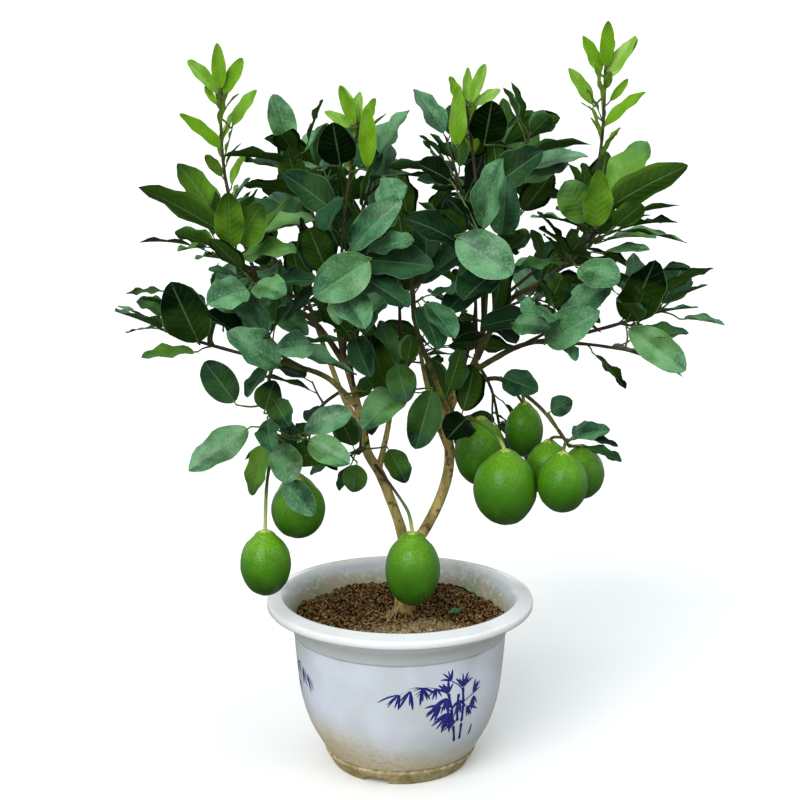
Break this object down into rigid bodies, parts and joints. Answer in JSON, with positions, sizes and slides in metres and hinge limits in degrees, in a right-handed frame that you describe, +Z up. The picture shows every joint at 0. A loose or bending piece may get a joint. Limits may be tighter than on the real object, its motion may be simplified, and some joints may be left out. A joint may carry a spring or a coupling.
{
  "type": "potted lemon tree",
  "caption": "Young lemon tree in fruit, with a forked trunk and an open leafy crown, standing in a round glossy pot with a rolled rim, filled with soil.",
  "frame": {"origin": "centre of the flat underside of the pot", "axes": "+Z up through the pot, -Y towards the open front of the crown that the picture shows, +X to the right of that view"},
  "size_m": [0.5276, 0.3682, 0.7129],
  "materials": {
    "glaze": "smooth bluish white glaze-like gloss with painted indigo sprays, stained at the foot",
    "soil": "dry crumbly potting soil",
    "bark": "thin tan bark with brown patches and green streaks",
    "leaf": "glossy dark green leaves on thin green twigs, with green fruit",
    "young_leaf": "soft yellow-green young leaves",
    "fruit": "glossy green lemon peel with fine pits",
    "ink": "indigo painted ornament under the glaze"
  },
  "bodies": {
    "root": {"back_high_left": "leaf", "back_high_right": "leaf", "back_low_left": "leaf", "back_low_right": "leaf", "back_outer_left": "leaf", "back_outer_right": "leaf", "bough_back": "bark", "bough_centre": "bark", "bough_front": "bark", "bough_fruit": "bark", "bough_left": "bark", "bough_left_arm": "bark", "bough_left_back": "bark", "bough_left_branch": "bark", "bough_left_upper": "bark", "bough_right": "bark", "bough_right_arm": "bark", "bough_right_back": "bark", "bough_right_branch": "bark", "bough_right_upper": "bark", "centre": "leaf", "centre_back": "leaf", "centre_front": "leaf", "flush_inner_left": "young_leaf", "flush_inner_right": "young_leaf", "flush_outer_left": "young_leaf", "flush_outer_right": "young_leaf", "front_inner_left": "leaf", "front_inner_right": "leaf", "fruit_back_left": "leaf", "fruit_back_right": "leaf", "fruit_big": "leaf", "fruit_front": "leaf", "fruit_left": "leaf", "fruit_right": "leaf", "fruit_top": "leaf", "inner_left": "leaf", "inner_right": "leaf", "low_back": "leaf", "low_centre": "leaf", "low_left": "leaf", "low_right": "leaf", "mid_left": "leaf", "mid_right": "leaf", "outer_left": "leaf", "outer_low": "leaf", "outer_right": "leaf", "pot": "glaze", "shoulder_left": "leaf", "shoulder_right": "leaf", "soil": "soil", "stem_side": "leaf", "top_inner_left": "leaf", "top_inner_right": "leaf", "top_left": "leaf", "top_right": "leaf", "trunk": "bark"}
  },
  "joints": []
}
